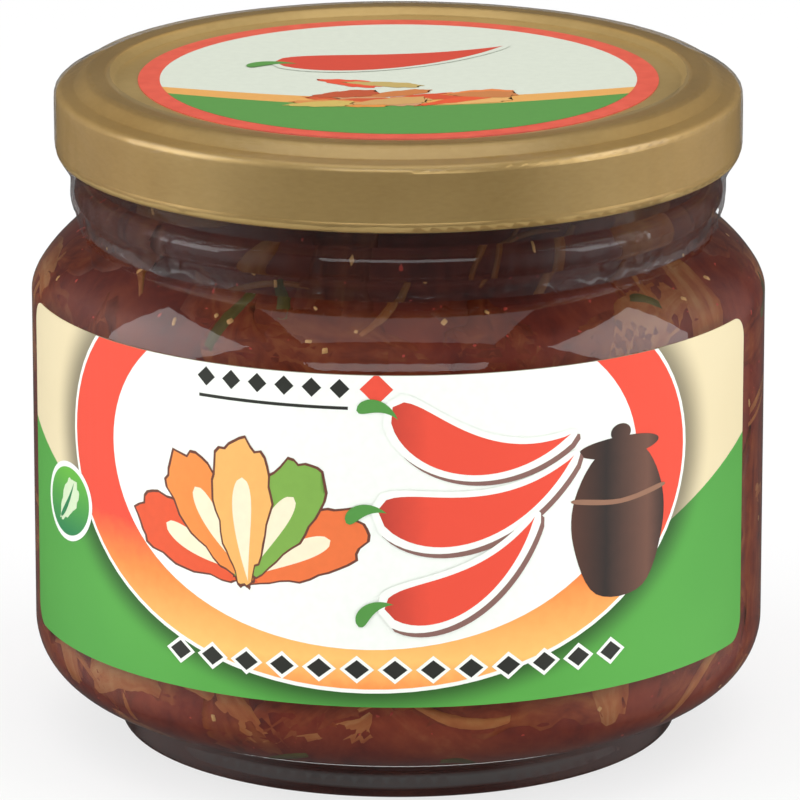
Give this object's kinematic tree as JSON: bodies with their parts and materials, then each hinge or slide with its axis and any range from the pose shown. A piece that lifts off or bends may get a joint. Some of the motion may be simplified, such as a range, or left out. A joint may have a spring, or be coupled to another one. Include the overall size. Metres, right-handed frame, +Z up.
{
  "type": "kimchi jar",
  "caption": "Squat wide-mouth glass jar filled with red cabbage kimchi, shut with a gold twist-off lid under a clear shrink band, with a wrap-round paper label and a round lid label.",
  "frame": {"origin": "centre of the base ring, on the plane the jar stands on", "axes": "+Z up along the jar's axis, the front label faces -Y, +X to the right seen from the front"},
  "size_m": [0.0914, 0.0915, 0.0834],
  "materials": {
    "glass": "clear, smooth",
    "kimchi": "wet, mottled red-brown",
    "gold_lacquer": "satin gold lacquer",
    "label_paper": "smooth coated paper, printed",
    "clear_film": "clear shrink film, wrinkled"
  },
  "bodies": {
    "root": {"jar_glass": "glass", "kimchi": "kimchi", "lid": "gold_lacquer", "lid_label": "label_paper", "front_label": "label_paper", "shrink_band": "clear_film"}
  },
  "joints": []
}
